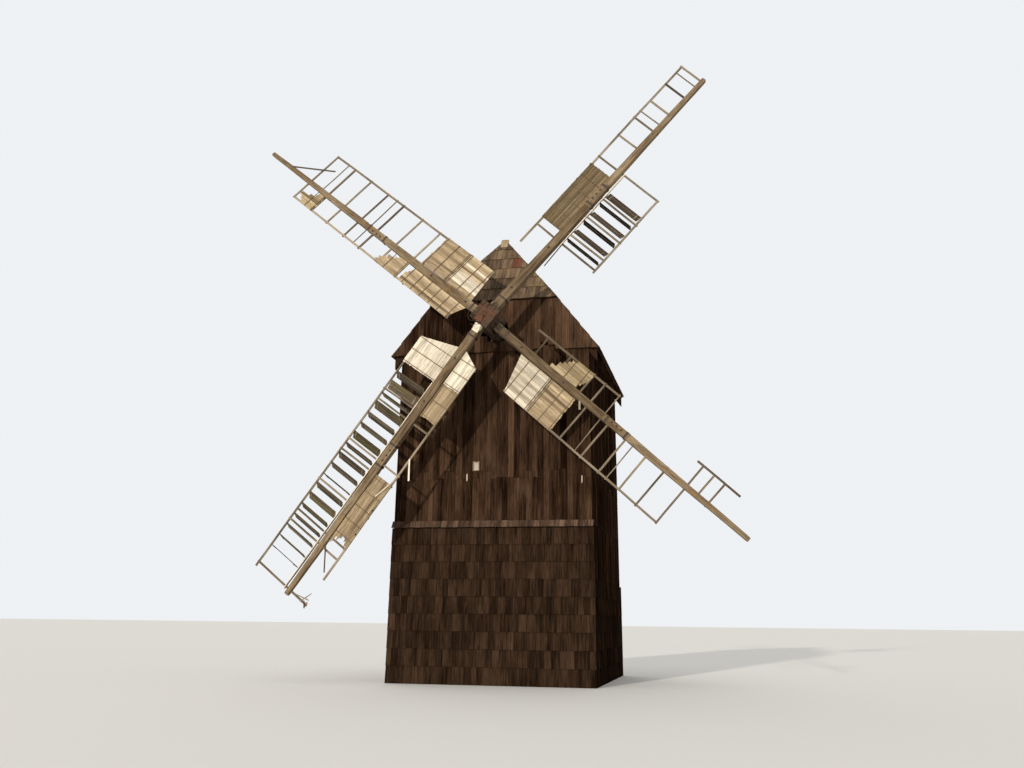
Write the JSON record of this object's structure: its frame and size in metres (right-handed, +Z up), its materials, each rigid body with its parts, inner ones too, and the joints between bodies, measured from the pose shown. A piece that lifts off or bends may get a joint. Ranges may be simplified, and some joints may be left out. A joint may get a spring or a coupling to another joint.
{
  "type": "timber windmill",
  "caption": "Old boarded timber windmill: tall box body, steep roof with half-hips, and a four-armed rotor of lattice sails with boards and shutters.",
  "frame": {"origin": "on the ground under the middle of the body", "axes": "+Z up, the sails face -Y, +X to the right of someone facing the sails"},
  "size_m": [14.743, 8.4573, 18.0504],
  "materials": {
    "frame_timber": "matt",
    "wall_boards": "matt, weathered",
    "skirt_boards": "matt, weathered",
    "ledge_boards": "matt, weathered",
    "roof_shingles": "matt, weathered",
    "trim_boards": "matt, weathered",
    "window_glass": "dusty",
    "shaft_timber": "matt, weathered",
    "iron": "rusty",
    "sail_timber": "matt, weathered grey",
    "sail_laths": "matt, weathered grey",
    "sail_boards": "matt, weathered grey"
  },
  "bodies": {
    "mill_body": {"ground_sill": "frame_timber", "wall_posts": "frame_timber", "wall_plates": "frame_timber", "front_wall": "wall_boards", "rear_wall": "wall_boards", "left_wall": "wall_boards", "right_wall": "wall_boards", "skirt_front": "skirt_boards", "skirt_rear": "skirt_boards", "side_skirts": "skirt_boards", "drip_ledge": "ledge_boards", "front_gable": "wall_boards", "rear_gable": "wall_boards", "left_roof": "roof_shingles", "right_roof": "roof_shingles", "front_hip": "roof_shingles", "rear_hip": "roof_shingles", "barge_boards": "trim_boards", "ridge_cap": "trim_boards", "ridge_end_boards": "trim_boards", "rafters": "frame_timber", "window_frame": "trim_boards", "window_pane": "window_glass", "door_frame": "trim_boards", "rear_door": "wall_boards", "weather_beam": "frame_timber", "tail_beam": "frame_timber", "shaft_bearings": "frame_timber"},
    "rotor": {"windshaft": "shaft_timber", "head_bands": "iron", "stock_front": "sail_timber", "stock_rear": "sail_timber", "sail_whips": "sail_timber", "stock_bands": "iron", "sail_frame_ur": "sail_laths", "sail_frame_ul": "sail_laths", "sail_frame_ll": "sail_laths", "sail_frame_lr": "sail_laths", "boards_ul": "sail_boards", "boards_ur": "sail_boards", "boards_ll": "sail_boards", "boards_lr": "sail_boards", "shutters_ur": "sail_boards", "shutters_ll": "sail_boards", "shutter_rods": "iron"}
  },
  "joints": [
    {"name": "rotor_spin", "type": "hinge", "parent": "mill_body", "child": "rotor", "pos_m": [0.1, -4.498, 10.18], "axis": [0, -0.9976, 0.0698], "continuous": true}
  ]
}
